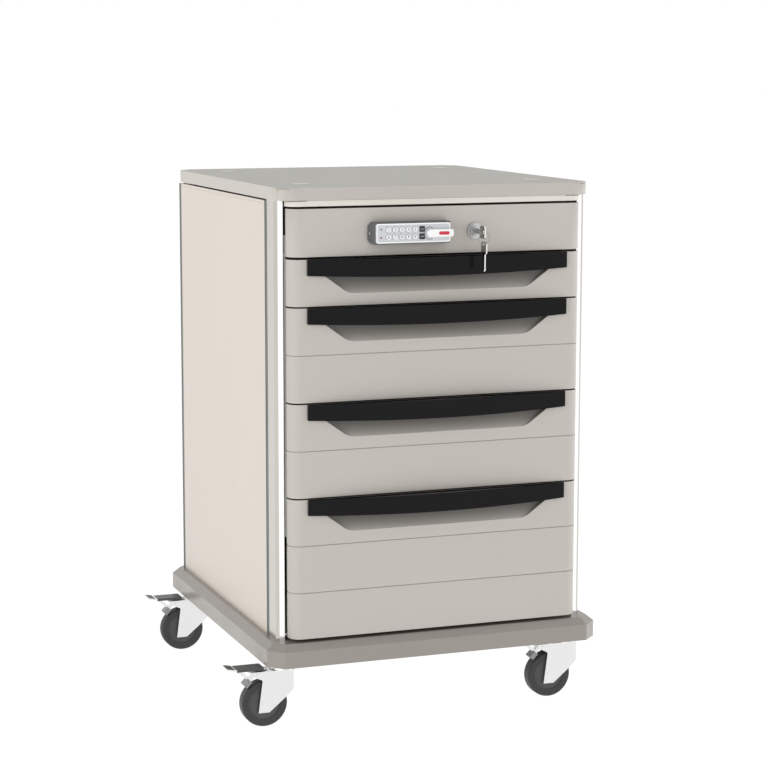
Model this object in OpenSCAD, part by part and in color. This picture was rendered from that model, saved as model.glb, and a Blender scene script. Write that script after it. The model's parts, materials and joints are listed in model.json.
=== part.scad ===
/* [Cabinet] */
// Height of one drawer module
module_h = 76.2; // [75:0.1:78]
// Width over the outside of the corner posts
body_w = 532; // [531:0.5:540]
// Depth from the drawer fronts to the back panel
body_d = 591; // [588:1:600]
// Number of modules in each drawer, from the top drawer down
drawer_modules = [1, 2, 2, 3];
// Width of a corner post across the front
post_w = 13.5; // [12:0.5:16]
// Depth of a corner post along the side
post_d = 41; // [36:1:44]
// Thickness of a side panel
panel_t = 6; // [4:0.5:8]

/* [Worktop] */
// Width of the worktop
worktop_w = 536; // [530:1:560]
// Depth of the worktop
worktop_d = 606; // [600:1:612]
// Thickness of the worktop
worktop_t = 20.3; // [16:0.1:26]
// Radius of the worktop's corners
worktop_r = 34; // [20:1:40]

/* [Base] */
// Width of the bumper base
bumper_w = 574; // [570:1:600]
// Depth of the bumper base
bumper_d = 626; // [622:1:640]
// How far the bumper stands in front of the drawer fronts
bumper_front = 10; // [6:1:14]
// Height of the bumper's underside above the floor
bumper_z = 106; // [104:0.5:110]
// Plan size of the bumper's corner chamfer
bumper_chamfer = 23.3; // [18:0.1:30]

/* [Drawers] */
// Width of a drawer front
front_w = 499; // [492:0.5:500]
// Thickness of a drawer front
front_t = 24; // [22:0.5:25]
// Radius of the drawer front's upright edges
front_r = 19; // [14:1:21]
// Gap above and below a drawer front
front_gap = 1.3; // [1:0.1:2]
// Travel of a drawer
drawer_travel = 460; // [400:5:480]
// Length of a drawer slide
slide_l = 500; // [480:5:510]

/* [Handles] */
// Length of a drawer handle
handle_w = 443.6; // [430:0.5:450]
// Height of a handle at its ends
handle_h = 25; // [22:0.5:28]
// How far the handle's middle bows forward
handle_bow = 14; // [10:0.5:16]
// How far the handle's ends stand in front of the drawer front
handle_stand = 4; // [3:0.5:6]
// How much deeper the handle is at its middle
handle_drop = 5; // [3:0.5:6]
// Depth of the finger scoop
scoop_d = 12; // [10:0.5:12.5]

/* [Casters] */
// Diameter of a caster wheel
wheel_dia = 76.2; // [74:0.1:77]
// Width of the tread
wheel_w = 22; // [20:0.5:23]
// Distance between the swivel axes across the cart
caster_span = 501.6; // [490:0.5:505]
// Distance of the front swivel axis behind the drawer fronts
caster_y_front = 49.4; // [45:0.2:55]
// Distance of the rear swivel axis behind the drawer fronts
caster_y_back = 552.4; // [545:0.2:560]
// Distance from the swivel axis back to the axle
trail = 32; // [30:0.5:34]
// Radius of the axle
axle_r = 4; // [3.5:0.1:4.5]

/* [Lock] */
// Height of the keypad's centre line above the top drawer
lock_rise = 38; // [34:0.5:42]
// Distance between keypad columns
key_pitch_x = 11.1; // [10.5:0.1:11.5]
// Distance between keypad rows
key_pitch_z = 11.6; // [11:0.1:12]
// Radius of a digit button
digit_r = 4.1; // [3.8:0.1:4.4]
// Travel of a keypad button
button_travel = 0.8; // [0.6:0.1:1]
// Distance of the lock bar's crank pin from the lever's axis
crank_r = 14; // [13:0.1:14.5]

/* [Fit] */
// Running clearance of a shaft in its hole, in radius
running = 0.06; // [0.02:0.01:0.08]
// Clearance between sliding parts
sliding = 0.4; // [0.3:0.05:0.6]

/* [Hidden] */
$fn = 64;
eps = 0.01;
far = 2000;

// Levels above the floor
bumper_face_h = 26.6;
bumper_bevel_h = 10.5;
bumper_inset = 12.3;
bumper_top = bumper_z + bumper_face_h + bumper_bevel_h;
bumper_skin = 6;
stack_z = bumper_top + 5;
modules_below = sum_first(drawer_modules, len(drawer_modules));
header_z = stack_z + modules_below * module_h;
header_h = 77.8;
lock_z = header_z + lock_rise;
rail_z = header_z + header_h + 3.6;
rail_h = 9;
worktop_z = rail_z + rail_h + 0.2;

// Plan positions
body_x = body_w / 2;
post_x = body_x - post_w;
post_y = 27;
post_back_y = body_d - panel_t - post_d;
front_x = front_w / 2;
handle_x = handle_w / 2;
post_wall = 2.5;
post_r = 6;
panel_skin = 1.5;
panel_rim = 14;
panel_gap = 0.3;
seal_w = 11;
panel_z1 = worktop_z - 3.2;
fascia_wall = 4;

// Worktop: a hollow inside its rim, and cover plugs over its fixing screws
worktop_rim = 22;
plug_size = 27;
plug_places = [for (x = [-200, 200], y = [97, 505]) [x, y]];

// Drawer tub and slides, measured across one side
tub_x = 232;
tub_y = front_t + 0.5;
tub_back_y = 560;
tub_t = 1.5;
tub_lift = 6;
tub_drop = 12;
slide_y = 44;
slide_t = 1.3;
slide_h = 45;
slide_up = 30;
middle_h = slide_h - 2 * (slide_t + sliding);
inner_h = middle_h - 2 * (slide_t + sliding);
rail_x = tub_x + 13.2;

// Lock bar, on the left of the drawers
bar_x0 = -250.8;
bar_t = 2;
bar_y0 = 26;
bar_y1 = 46;
bar_tab_reach = 5.8;
bar_tab_h = 14;
bar_travel = crank_r * sqrt(2);
catch_drop = 20;
catch_h = 10;
rivet_gap = 0.02;
crank_pin_r = 2.5;

// Lock positions across the fascia
lever_x = -24.9;
lever_z = lock_z - 1;
key_x = 60;
key_z = lock_z - 0.7;
plate_x0 = -114.6;
plate_x1 = 9.9;
plate_h = 30.7;
housing_y = -18;
plate_y = -22;
button_y0 = plate_y - 0.9;
button_y1 = housing_y + 6 - 2 * button_travel - 0.4;
digit_x0 = -94.5;
function_x = -37.8;
function_size = 8.4;
spindle_r = 4;
plug_r = 6.5;
barrel_r = 9;
barrel_face_y = -8;
plug_face_y = -12;
bow_size = 20;
bow_hole_r = 2.6;
blade_w = 8;
blade_t = 2.2;
blade_l = 27;
bow_y1 = -25;
ring_r = 9.2;
wire_r = 0.5;
hole_inset = 3.6;

// Caster shapes, measured from a swivel axis at floor level
fork_inner = 13;
fork_t = 2.5;
fork_top = 92.5;
pivot_x = -46;
pivot_z = 88;
pivot_r = 2;
kingpin_r = 5;

caster_places = [
    [-caster_span / 2, caster_y_front],
    [caster_span / 2, caster_y_front],
    [-caster_span / 2, caster_y_back],
    [caster_span / 2, caster_y_back]
];
caster_names = ["front_left", "front_right", "rear_left", "rear_right"];

// The origin is on the floor under the middle of the bounding box
pedal_tip = 96;
origin_x = (-caster_span / 2 - pedal_tip + bumper_w / 2) / 2;
hole_y = bow_y1 - bow_size + hole_inset;
key_tip_y = hole_y - bow_size / 2;
origin_y = (key_tip_y + bumper_d - bumper_front) / 2;

// Colours
beige = [0.77, 0.74, 0.70];
cream = [0.88, 0.85, 0.81];
taupe = [0.64, 0.61, 0.57];
black = [0.10, 0.10, 0.10];
metal = [0.86, 0.87, 0.88];
zinc = [0.90, 0.90, 0.91];
steel = [0.62, 0.63, 0.65];
slate = [0.33, 0.34, 0.35];
rubber = [0.24, 0.24, 0.25];

drawer_ids = [1 : len(drawer_modules)];
digits = [0 : 9];

// ---------- small helpers ----------

function sum_first(list, count) = count == 0 ? 0 : list[count - 1] + sum_first(list, count - 1);

// Bottom and top levels of drawer k, counted from the top
function drawer_top(k) = header_z - sum_first(drawer_modules, k - 1) * module_h;
function drawer_bottom(k) = header_z - sum_first(drawer_modules, k) * module_h;

// A box given by its low and high corners
module box(low, high) {
    translate(low) cube(high - low);
}

// Both sides of the cart's centre plane
module both_sides() {
    children();
    mirror([1, 0, 0]) children();
}

// A cylinder along Y, from y0 to y1
module rod_y(r, y0, y1) {
    translate([0, y0, 0]) rotate([-90, 0, 0]) cylinder(r = r, h = y1 - y0);
}

// A drawing in the X-Z plane, made solid from y0 to y1
module front_extrude(y0, y1) {
    translate([0, y1, 0]) rotate([90, 0, 0]) linear_extrude(y1 - y0) children();
}

// A drawing in the Y-Z plane, made solid from x0 to x1
module side_extrude(x0, x1) {
    translate([x0, 0, 0]) rotate([90, 0, 90]) linear_extrude(x1 - x0) children();
}

// A rectangle with round corners, given by its low and high corners
module round_rect(low, high, r) {
    translate([low[0] + r, low[1]]) square([high[0] - low[0] - 2 * r, high[1] - low[1]]);
    translate([low[0], low[1] + r]) square([high[0] - low[0], high[1] - low[1] - 2 * r]);
    for (x = [low[0] + r, high[0] - r], y = [low[1] + r, high[1] - r])
        translate([x, y]) circle(r = r);
}

// Plan of a front: flat in the middle, with a round edge at each side
module front_plan(half_w, y0, y1, r) {
    intersection() {
        translate([-half_w, y0]) square([2 * half_w, y1 - y0]);
        union() {
            translate([-half_w + r, y0]) square([2 * (half_w - r), y1 - y0]);
            translate([-half_w, y0 + r]) square([2 * half_w, y1 - y0]);
            for (x = [-half_w + r, half_w - r]) translate([x, y0 + r]) circle(r = r);
        }
    }
}

// Puts a caster part on the swivel axis at one of the four places
module at_caster(i) {
    translate([caster_places[i][0], caster_places[i][1], 0]) children();
}

// Moves the cart from its design frame to the part's origin
module placed() {
    translate([-origin_x, -origin_y, 0]) children();
}

// ---------- base ----------

// Upright face below a bevel, drawn across a half width w
module bevel_profile(w, z0, z1, z2, inset) {
    polygon([[-w, z0], [w, z0], [w, z1], [w - inset, z2], [-w + inset, z2], [-w, z1]]);
}

// A slab with chamfered corners, and a bevel all round its top edge
module bevel_slab(w, d, chamfer, z0, z1, z2, inset) {
    diagonal = (w + d - chamfer) / sqrt(2);
    intersection() {
        front_extrude(-d, d) bevel_profile(w, z0, z1, z2, inset);
        side_extrude(-w, w) bevel_profile(d, z0, z1, z2, inset);
        rotate([0, 0, 45]) front_extrude(-w - d, w + d) bevel_profile(diagonal, z0, z1, z2, inset);
        rotate([0, 0, -45]) front_extrude(-w - d, w + d) bevel_profile(diagonal, z0, z1, z2, inset);
    }
}

module base_bumper() {
    z1 = bumper_z + bumper_face_h;
    color(taupe) translate([0, bumper_d / 2 - bumper_front, 0]) difference() {
        bevel_slab(bumper_w / 2, bumper_d / 2, bumper_chamfer, bumper_z, z1, bumper_top, bumper_inset);
        bevel_slab(
            bumper_w / 2 - bumper_skin, bumper_d / 2 - bumper_skin, bumper_chamfer,
            bumper_z - 1, z1 - bumper_skin / 2, bumper_top - bumper_skin, bumper_inset
        );
    }
}

module inner_frame() {
    pan_x = bumper_w / 2 - bumper_skin - 1;
    pan_y0 = bumper_skin + 1 - bumper_front;
    pan_y1 = bumper_d - bumper_front - bumper_skin - 1;
    upright_ys = [post_y + post_d + 1, post_back_y - 25];
    color(steel) {
        // Floor of the base, which the casters bolt to
        translate([0, (pan_y0 + pan_y1) / 2, 0]) bevel_slab(
            pan_x, (pan_y1 - pan_y0) / 2, bumper_chamfer, bumper_z, bumper_z + 4, bumper_z + 4 + eps, eps
        );
        // Box-section runners that carry the uprights
        both_sides() difference() {
            box([236, 30, bumper_z + 4 + eps], [262, 590, bumper_top - bumper_skin - 0.2]);
            box([238, 29, bumper_z + 6], [260, 591, bumper_top - bumper_skin - 2]);
        }
        // Four channel uprights, open towards the side panels
        both_sides() for (y = upright_ys) difference() {
            box([rail_x, y, bumper_top], [body_x - panel_t, y + 24, worktop_z - 14]);
            box([rail_x + 2, y + 2, bumper_top - 1], [body_x, y + 22, worktop_z]);
        }
        // Two cross ties under the worktop
        for (y = upright_ys) difference() {
            box([-body_x + panel_t, y, worktop_z - 14], [body_x - panel_t, y + 24, worktop_z]);
            box([-body_x, y + 2, worktop_z - 15], [body_x, y + 22, worktop_z - 2]);
        }
        // Two guides for the lock bar
        for (z = [header_z + 4, stack_z + 4]) difference() {
            box([-post_x + 0.1, bar_y0 - 0.8, z], [-rail_x - 0.3, post_y + post_d + 1, z + 3]);
            box(
                [bar_x0 - sliding, bar_y0 - sliding, z - 1],
                [bar_x0 + bar_t + sliding, bar_y1 + sliding, z + 4]
            );
        }
    }
}

// ---------- cabinet shell ----------

module post_plan(inset) {
    x0 = post_x + inset;
    x1 = body_x - inset;
    y0 = post_y + inset;
    y1 = post_y + post_d - inset;
    r = post_r - inset;
    translate([x0, y0]) square([x1 - x0 - r, y1 - y0]);
    translate([x0, y0 + r]) square([x1 - x0, y1 - y0 - r]);
    translate([x1 - r, y0 + r]) circle(r = r);
}

module corner_post() {
    translate([0, 0, bumper_top]) linear_extrude(worktop_z - bumper_top) difference() {
        post_plan(0);
        post_plan(post_wall);
    }
}

// A square tube inside each rear corner, behind the side and back panels
module rear_post() {
    low = [post_x - panel_t - panel_gap, post_back_y - panel_gap];
    high = [body_x - panel_t - panel_gap, body_d - panel_t - panel_gap];
    translate([0, 0, bumper_top]) linear_extrude(worktop_z - bumper_top) difference() {
        translate(low) square(high - low);
        translate(low + [post_wall, post_wall]) square(high - low - 2 * [post_wall, post_wall]);
    }
}

module corner_posts() {
    color(metal) both_sides() {
        corner_post();
        rear_post();
    }
}

// Side panel: a thin skin with a deep edge folded in all round
module side_panel() {
    low = [body_x - panel_t, post_y + post_d + seal_w, bumper_top];
    high = [body_x, body_d - seal_w, panel_z1];
    color(cream) difference() {
        box(low, high);
        box(
            [low[0] - 1, low[1] + panel_rim, low[2] + panel_rim],
            [high[0] - panel_skin, high[1] - panel_rim, high[2] - panel_rim]
        );
        // Fine line under the top edge
        box([high[0] - 0.7, low[1] - 1, high[2] - 5], [high[0] + 1, high[1] + 1, high[2] - 4.2]);
    }
}

module side_panel_left() {
    mirror([1, 0, 0]) side_panel();
}

module side_panel_right() {
    side_panel();
}

module back_panel() {
    half_w = body_x - panel_t - panel_gap;
    color(cream) difference() {
        box([-half_w, body_d - panel_t, bumper_top], [half_w, body_d, panel_z1]);
        box(
            [-half_w + panel_rim, body_d - panel_t - 1, bumper_top + panel_rim],
            [half_w - panel_rim, body_d - panel_skin, panel_z1 - panel_rim]
        );
    }
}

// Rubber strips along the front and rear edges of the side panels, each with a groove
module panel_seals() {
    groove = 2.4;
    color(slate) both_sides() for (y = [post_y + post_d, body_d - seal_w]) difference() {
        box([body_x - panel_t, y, bumper_top], [body_x + 0.4, y + seal_w, panel_z1]);
        box(
            [body_x - 0.8, y + seal_w / 2, bumper_top - 1],
            [body_x + 1, y + seal_w / 2 + groove, panel_z1 + 1]
        );
    }
}

// ---------- worktop and header ----------

module worktop_plan(inset) {
    round_rect(
        [-worktop_w / 2 + inset, inset], [worktop_w / 2 - inset, worktop_d - inset], worktop_r - inset
    );
}

module worktop() {
    skin = 5;
    corner_step = 3.5;
    top = worktop_z + worktop_t;
    color(beige) {
        difference() {
            translate([0, 0, worktop_z]) linear_extrude(worktop_t) worktop_plan(0);
            // Hollow underside, with a rib each way
            difference() {
                translate([0, 0, worktop_z - 1]) linear_extrude(worktop_t + 1 - skin)
                    worktop_plan(worktop_rim);
                for (x = [-170, -85, 0, 85, 170])
                    box([x - 2, 0, worktop_z - 2], [x + 2, worktop_d, worktop_z + worktop_t]);
                for (y = [0.09, 0.25, 0.42, 0.58, 0.75, 0.91])
                    box([-body_x, y * worktop_d - 15, worktop_z - 2], [body_x, y * worktop_d + 15, top]);
            }
            // Low step at each round corner
            for (x = [-1, 1], y = [0, 1])
                translate([x * (worktop_w / 2 - worktop_r), y * worktop_d + (1 - 2 * y) * worktop_r, top])
                    rotate([0, 0, (x > 0 ? 0 : 180) + (x > 0 ? -45 : 45) * (1 - 2 * y)])
                    box([worktop_r - corner_step, -30, -2.5], [worktop_r + 5, 30, 1]);
            for (p = plug_places)
                translate([p[0], p[1], top - 3]) linear_extrude(4) square(plug_size, center = true);
        }
        for (p = plug_places)
            translate([p[0], p[1], top - 3]) linear_extrude(3.5) square(plug_size - 1, center = true);
    }
}

module header_rail() {
    half_w = post_x - 1.7;
    color(cream) difference() {
        translate([0, 0, rail_z]) linear_extrude(rail_h) front_plan(half_w, 1, 25, front_r);
        both_sides() box([half_w - 30, -5, rail_z + rail_h - 0.8], [half_w + 5, 30, rail_z + rail_h + 1]);
    }
}

module lock_fascia() {
    z0 = header_z + front_gap * 2;
    z1 = header_z + header_h;
    color(beige) difference() {
        translate([0, 0, z0]) linear_extrude(z1 - z0) front_plan(front_x, 0, front_t, front_r);
        translate([0, 0, z0 + fascia_wall]) linear_extrude(z1 - z0 - 2 * fascia_wall)
            front_plan(front_x - fascia_wall, fascia_wall, front_t + front_r, front_r - fascia_wall);
        translate([lever_x, 0, lever_z]) rod_y(spindle_r + 1, -1, fascia_wall + 1);
        translate([key_x, 0, key_z]) rod_y(barrel_r, -1, fascia_wall + 1);
    }
}

// ---------- drawer slides ----------

// One slide channel: a web at x_web and two flanges that reach across to x_lip
module channel(x_web, x_lip, height, z) {
    x0 = min(x_web, x_lip);
    x1 = max(x_web, x_lip);
    inner0 = x_web < x_lip ? x0 + slide_t : x0 - 1;
    inner1 = x_web < x_lip ? x1 + 1 : x1 - slide_t;
    difference() {
        box([x0, slide_y, z - height / 2], [x1, slide_y + slide_l, z + height / 2]);
        box(
            [inner0, slide_y - 1, z - height / 2 + slide_t],
            [inner1, slide_y + slide_l + 1, z + height / 2 - slide_t]
        );
    }
}

function slide_z(k) = drawer_bottom(k) + slide_up;

module slide_rails() {
    color(zinc) both_sides() for (k = drawer_ids)
        channel(rail_x, rail_x - 8, slide_h, slide_z(k));
}

module middle_slides(k) {
    color(zinc) both_sides() channel(rail_x - slide_t - 1, tub_x + 3, middle_h, slide_z(k));
}

// ---------- drawers ----------

module drawer_front(k) {
    z0 = drawer_bottom(k) + front_gap;
    z1 = drawer_top(k) - front_gap;
    top = drawer_top(k);
    border = 8;
    groove = 1.4;
    color(beige) difference() {
        translate([0, 0, z0]) linear_extrude(z1 - z0) front_plan(front_x, 0, front_t, front_r);
        // Hollow back
        box(
            [-front_x + front_r + border, scoop_d + 3, z0 + border],
            [front_x - front_r - border, front_t + 1, z1 - border]
        );
        scoop(top);
        // Shallow line at each module boundary
        if (drawer_modules[k - 1] > 1)
            for (i = [1 : drawer_modules[k - 1] - 1])
                translate([0, 0, top - i * module_h - groove / 2]) linear_extrude(groove) difference() {
                    translate([-far / 2, -far / 2]) square([far, far / 2 + front_t + 1]);
                    front_plan(front_x - 1, 1, front_t + 2, front_r - 1);
                }
    }
}

// Outline of the finger scoop, with slanted ends that turn into its lower edge with a round corner
module scoop_outline(z_roof, z_top, z_bottom) {
    half_top = 192;
    half_bottom = 153;
    corner_r = 34;
    slope = atan2(z_top - z_bottom, half_top - half_bottom);
    tangent = corner_r * tan(slope / 2);
    side = [half_bottom + tangent * cos(slope), z_bottom + tangent * sin(slope)];
    polygon([
        [half_top, z_roof], [half_top, z_top], side, [half_bottom - tangent, z_bottom],
        [-half_bottom + tangent, z_bottom], [-side[0], side[1]], [-half_top, z_top], [-half_top, z_roof]
    ]);
    for (s = [-1, 1])
        translate([s * (half_bottom - tangent), z_bottom + corner_r]) circle(r = corner_r);
}

// The finger scoop under a handle: deep behind the handle, and running out at its lower edge
module scoop(top) {
    run_r = 40;
    z_top = top - handle_h - 3;
    z_roof = top - 7;
    intersection() {
        front_extrude(-5, scoop_d) intersection() {
            scoop_outline(z_roof, z_top, top - 56.1);
            translate([-far / 2, z_roof - far]) square(far);
        }
        union() {
            translate([-far / 2, scoop_d - run_r, z_top]) rotate([0, 90, 0]) cylinder(r = run_r, h = far);
            box([-far / 2, -6, z_top], [far / 2, scoop_d, z_roof]);
        }
    }
}

// Radius of an arc from its half chord and its rise
function arc_radius(half_chord, rise) = (half_chord * half_chord + rise * rise) / (2 * rise);

module drawer_handle(k) {
    face_t = 4;
    web_t = 3;
    end_t = 16;
    z1 = drawer_top(k) - front_gap;
    z0 = z1 - handle_h;
    bow_r = arc_radius(handle_x, handle_bow);
    drop_r = arc_radius(handle_x, handle_drop);
    bow_front = -handle_stand - handle_bow;
    color(black) intersection() {
        // Outline seen from above, bowed forward
        difference() {
            translate([0, bow_front + bow_r, z0 - handle_drop - 1])
                cylinder(r = bow_r, h = far / 4, $fn = 256);
            // Hollow for the fingers, below the top web and between the ends
            intersection() {
                translate([0, bow_front + face_t + bow_r, z0 - far / 8])
                    cylinder(r = bow_r, h = far / 8 + handle_h - web_t, $fn = 256);
                box([-handle_x + end_t, -far, z0 - far], [handle_x - end_t, far, z1]);
            }
        }
        // Outline seen from the front, deeper in the middle
        front_extrude(-far / 4, 0) intersection() {
            translate([-handle_x, z0 - handle_drop]) square([handle_w, z1 - z0 + handle_drop]);
            translate([0, z0 - handle_drop + drop_r]) circle(r = drop_r, $fn = 256);
        }
    }
}

module drawer_tub(k) {
    z0 = drawer_bottom(k) + tub_lift;
    z1 = drawer_top(k) - tub_drop;
    catch_z = drawer_top(k) - catch_drop;
    catch_y = bar_y0 + 12;
    color(zinc) {
        difference() {
            box([-tub_x, tub_y, z0], [tub_x, tub_back_y, z1]);
            box([-tub_x + tub_t, tub_y + tub_t, z0 + tub_t], [tub_x - tub_t, tub_back_y - tub_t, z1 + 1]);
        }
        // Slide members on both sides
        both_sides() channel(tub_x, tub_x + 7.5, inner_h, slide_z(k));
        // Catch riveted to the left side, behind the lock bar's tab
        box(
            [bar_x0 + bar_t + 1.3, catch_y, catch_z - catch_h / 2],
            [-tub_x - rivet_gap, catch_y + 4, catch_z + catch_h / 2]
        );
    }
}

// ---------- lock bar and keypad ----------

module lock_bar() {
    beam_y1 = bar_y0 + 3;
    pin_z = lever_z - crank_r / sqrt(2);
    pin_x = lever_x + crank_r / sqrt(2);
    bar_x1 = bar_x0 + bar_t;
    last = len(drawer_modules);
    tab_drop = catch_drop + catch_h / 2 + 2 + bar_tab_h;
    leg_z0 = drawer_top(last) - tab_drop - 23;
    slot_h = 2 * (crank_pin_r + 0.8);
    color(steel) {
        difference() {
            union() {
                box([bar_x0, bar_y0, leg_z0], [bar_x1, bar_y1, pin_z + 9]);
                box([bar_x0, bar_y0, pin_z - 9], [lever_x + crank_r + 12, beam_y1, pin_z + 9]);
            }
            // Slot that the lever's crank pin runs in
            box(
                [pin_x - crank_pin_r - 2, bar_y0 - 1, pin_z - slot_h / 2],
                [lever_x + crank_r + crank_pin_r + 2, beam_y1 + 1, pin_z + slot_h / 2]
            );
        }
        // One tab riveted on for each drawer
        for (k = drawer_ids)
            translate([bar_x1 + rivet_gap, bar_y0 + 4, drawer_top(k) - tab_drop])
                cube([bar_tab_reach, 4, bar_tab_h]);
    }
}

module lock_lever() {
    face_y = plate_y - 5;
    tip = 38.5;
    half_h = 6;
    crank_y = 20;
    pin_x = crank_r / sqrt(2);
    color(metal) translate([lever_x, 0, lever_z]) {
        // Thumb lever in front
        front_extrude(face_y, plate_y - sliding) {
            circle(r = half_h);
            translate([0, -half_h]) square([tip - 3, 2 * half_h]);
            round_rect([0, -half_h], [tip, half_h], 3);
        }
        // Spindle through the housing
        rod_y(spindle_r, face_y + 1, crank_y + 4);
        // Crank and its pin behind the fascia
        front_extrude(crank_y, crank_y + 4) {
            circle(r = 7);
            rotate(-45) translate([0, -4.5]) square([crank_r, 9]);
            rotate(-45) translate([crank_r, 0]) circle(r = 4.5);
        }
        translate([pin_x, 0, -pin_x]) rod_y(crank_pin_r, crank_y + 1, bar_y0 + 4.5);
    }
}

// Where each keypad button is: digits 1 to 5 above 6 to 0
function digit_x(i) = digit_x0 + ((i + 9) % 10 % 5) * key_pitch_x;
function digit_z(i) = lock_z + ((i + 9) % 10 < 5 ? 0.5 : -0.5) * key_pitch_z;

module keypad_pockets(gap, y0, y1) {
    for (i = digits) translate([digit_x(i), 0, digit_z(i)]) rod_y(digit_r + gap, y0, y1);
    for (s = [-1, 1])
        translate([function_x, 0, lock_z + s * key_pitch_z / 2])
            front_extrude(y0, y1) square(function_size + 2 * gap, center = true);
}

module keypad_housing() {
    half_h = 17.3;
    z0 = lock_z - half_h;
    end_x = plate_x0 - 7;
    color(slate) difference() {
        // Plan with a slanted left end
        translate([0, 0, z0]) linear_extrude(2 * half_h) polygon([
            [end_x, 0], [end_x + 0.6, -8], [end_x + 3, -14], [plate_x0 - 0.6, housing_y],
            [plate_x1 + 1, housing_y], [plate_x1 + 1, 0]
        ]);
        // Slanted upper and lower corners at the left end
        for (s = [-1, 1]) translate([end_x, -20, lock_z + s * half_h])
            rotate([0, 45, 0]) translate([-4.5, 0, -4.5]) cube([9, 21, 9]);
        keypad_pockets(0.4, housing_y - 1, housing_y + 6);
        translate([lever_x, 0, lever_z]) rod_y(spindle_r + running, housing_y - 1, 1);
    }
}

module keypad_faceplate() {
    border = 2;
    half_h = plate_h / 2;
    panel_x1 = lever_x - 14;
    color(metal) difference() {
        front_extrude(plate_y, housing_y)
            round_rect([plate_x0, lock_z - half_h], [plate_x1, lock_z + half_h], 3);
        // Sunk panel inside a raised border
        front_extrude(plate_y - 1, plate_y + 0.6) round_rect(
            [plate_x0 + border, lock_z - half_h + border], [plate_x1 - border, lock_z + half_h - border], 2
        );
        keypad_pockets(0.4, plate_y - 1, housing_y + 1);
        translate([lever_x, 0, lever_z]) rod_y(spindle_r + 0.5, plate_y - 1, housing_y + 1);
        // Windows of the two indicator lights
        for (s = [-1, 1]) translate([digit_x0 - 12, 0, lock_z + s * key_pitch_z * 0.56])
            rod_y(1.5, plate_y - 1, housing_y + 1);
    }
}

module digit_button(i) {
    color(metal) translate([digit_x(i), 0, digit_z(i)]) {
        rod_y(digit_r - 0.6, button_y0 - 0.3, button_y0 + 1);
        rod_y(digit_r, button_y0, button_y1);
    }
}

module function_button(s) {
    color(slate) translate([function_x, 0, lock_z + s * key_pitch_z / 2])
        front_extrude(button_y0, button_y1) square(function_size, center = true);
}

module enter_button() {
    function_button(1);
}

module clear_button() {
    function_button(-1);
}

// ---------- key lock ----------

module lock_barrel() {
    color(metal) translate([key_x, 0, key_z]) difference() {
        union() {
            rod_y(13, -4, 0);
            rod_y(11.5, barrel_face_y, -4 + eps);
            rod_y(barrel_r, -eps, 22);
            // Nut behind the fascia
            translate([0, fascia_wall, 0]) rotate([-90, 30, 0]) cylinder(r = 13, h = 4, $fn = 6);
        }
        rod_y(plug_r + running, barrel_face_y - 1, 23);
    }
}

module key_plug() {
    color(metal) translate([key_x, 0, key_z]) {
        difference() {
            union() {
                rod_y(plug_r, barrel_face_y - 2, 24);
                rod_y(plug_r + 1.5, plug_face_y, barrel_face_y - 0.3);
            }
            // Keyway
            box(
                [-blade_t / 2 - 0.2, plug_face_y - 1, -blade_w / 2 - 0.3],
                [blade_t / 2 + 0.2, 6, blade_w / 2 + 0.3]
            );
        }
        // Cam
        front_extrude(22.4, 25.4) {
            circle(r = plug_r);
            round_rect([-5, -20], [5, 5], 3);
        }
    }
}

// A key lying in the Y-Z plane, its bow in front and its blade pointing back
module key_shape() {
    side_extrude(-blade_t / 2, blade_t / 2) difference() {
        union() {
            round_rect([bow_y1 - bow_size, -bow_size / 2], [bow_y1, bow_size / 2], 5);
            translate([bow_y1 - 1, -blade_w / 2]) square([blade_l, blade_w]);
            translate([bow_y1 + blade_l - 1, 0]) circle(r = blade_w / 2 - 0.5);
        }
        translate([bow_y1 - bow_size + hole_inset, 0]) circle(r = bow_hole_r);
        // Cuts along the lower edge
        for (i = [0 : 3])
            translate([bow_y1 + 11 + 4 * i, -blade_w / 2 - 0.6]) rotate(45) square(2.4, center = true);
    }
}

module key() {
    color(metal) translate([key_x, 0, key_z]) key_shape();
}

module spare_key() {
    color(metal) translate([key_x, hole_y, key_z]) {
        // Ring through both bows
        translate([0, 0, -ring_r]) rotate([90, 0, 0]) rotate_extrude()
            translate([ring_r, 0]) circle(r = wire_r, $fn = 24);
        // The second key's bow, which hangs above the top drawer
        translate([0, 0, -2 * ring_r - bow_size / 2 + hole_inset])
            side_extrude(-blade_t / 2, blade_t / 2) difference() {
                round_rect([-bow_size / 2, -bow_size / 2], [bow_size / 2, bow_size / 2], 5);
                translate([0, bow_size / 2 - hole_inset]) circle(r = bow_hole_r);
            }
    }
}

// ---------- casters ----------

module caster_plates() {
    plate = 30;
    raceway_r = 21;
    hole = 23;
    color(zinc) for (i = [0 : 3]) at_caster(i) {
        linear_extrude_at(bumper_z - 3, bumper_z) round_rect([-plate, -plate], [plate, plate], 5);
        translate([0, 0, fork_top + 0.5]) cylinder(r = raceway_r, h = bumper_z - 3 - fork_top);
        // Kingpin, with its head under the fork
        translate([0, 0, fork_top - 8]) cylinder(r = kingpin_r, h = bumper_z - fork_top + 5);
        translate([0, 0, fork_top - 8]) cylinder(r = 9, h = 4.2);
        // Screw heads
        for (x = [-hole, hole], y = [-hole, hole])
            translate([x, y, bumper_z - 6]) cylinder(r = 3.5, h = 3 + eps);
    }
}

module linear_extrude_at(z0, z1) {
    translate([0, 0, z0]) linear_extrude(z1 - z0) children();
}

// Plan of the fork: two cheeks joined by a round nose
module fork_plan(half_w, nose) {
    translate([-80, -half_w]) square([80 + nose - half_w, 2 * half_w]);
    translate([nose - half_w, 0]) circle(r = half_w);
}

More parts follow.
